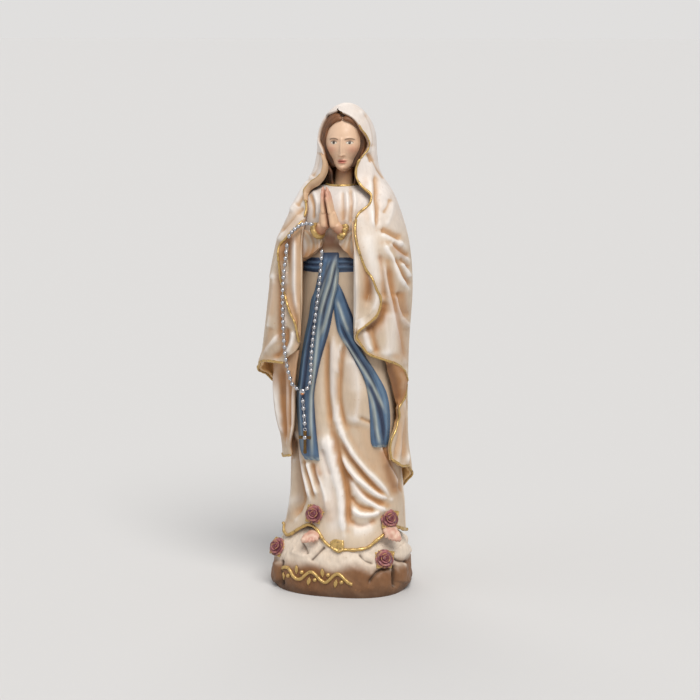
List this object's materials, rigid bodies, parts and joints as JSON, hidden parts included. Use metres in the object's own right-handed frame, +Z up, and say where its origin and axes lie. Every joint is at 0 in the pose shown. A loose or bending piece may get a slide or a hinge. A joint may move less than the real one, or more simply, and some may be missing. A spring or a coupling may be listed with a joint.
{
  "type": "madonna statue",
  "caption": "Standing veiled figure with praying hands on a rounded rock base, with a bead rosary that hangs and swings from one wrist.",
  "frame": {"origin": "centre of the rock base's flat underside", "axes": "+Z up; the figure looks along -Y; its left hand is on +X"},
  "size_m": [0.0617, 0.0498, 0.1996],
  "materials": {
    "ivory_paint": "carved wood under ivory paint, with an ochre glaze left in the folds and a satin varnish",
    "skin_paint": "painted flesh tone, satin",
    "hair_paint": "dark brown paint, satin",
    "blue_paint": "muted blue paint with pale highlights along the folds",
    "painted_rock": "brown glaze, whitened on the upper face",
    "bare_wood": "bare turned dowel",
    "rose_paint": "mauve petals edged with gilding",
    "gilding": "gold paint over carved wood",
    "silver": "polished silver-coloured metal beads on fine wire",
    "gilt_metal": "polished gold-coloured metal"
  },
  "bodies": {
    "statue": {"rock_base": "painted_rock", "base_dowel": "bare_wood", "tunic": "ivory_paint", "mantle": "ivory_paint", "head": "skin_paint", "hair": "hair_paint", "neckline_trim": "gilding", "sash_belt": "blue_paint", "sash_right_tail": "blue_paint", "sash_left_tail": "blue_paint", "right_sleeve": "ivory_paint", "left_sleeve": "ivory_paint", "right_hand": "skin_paint", "left_hand": "skin_paint", "right_cuff": "gilding", "left_cuff": "gilding", "right_foot": "skin_paint", "left_foot": "skin_paint", "right_foot_rose": "rose_paint", "left_foot_rose": "rose_paint", "right_rock_rose": "rose_paint", "left_rock_rose": "rose_paint", "base_ornament": "gilding", "rosary_wrist_wrap": "silver"},
    "rosary_loop": {"rosary_outer_strand": "silver", "rosary_inner_strand": "silver", "rosary_medal": "gilt_metal"},
    "rosary_drop_chain": {"rosary_drop": "silver"},
    "rosary_cross_pendant": {"rosary_cross": "gilt_metal"}
  },
  "joints": [
    {"name": "loop_swing", "type": "hinge", "parent": "statue", "child": "rosary_loop", "pos_m": [-0.0094, -0.0224, 0.144], "axis": [-0.9905, 0, 0.1376], "range_deg": [0, 35]},
    {"name": "drop_sway", "type": "hinge", "parent": "rosary_loop", "child": "rosary_drop_chain", "pos_m": [-0.0112, -0.0207, 0.084], "axis": [0, 1, 0], "range_deg": [-20, 20]},
    {"name": "cross_swing", "type": "hinge", "parent": "rosary_drop_chain", "child": "rosary_cross_pendant", "pos_m": [-0.0102, -0.0206, 0.0694], "axis": [-1, 0, 0], "range_deg": [0, 60]}
  ]
}
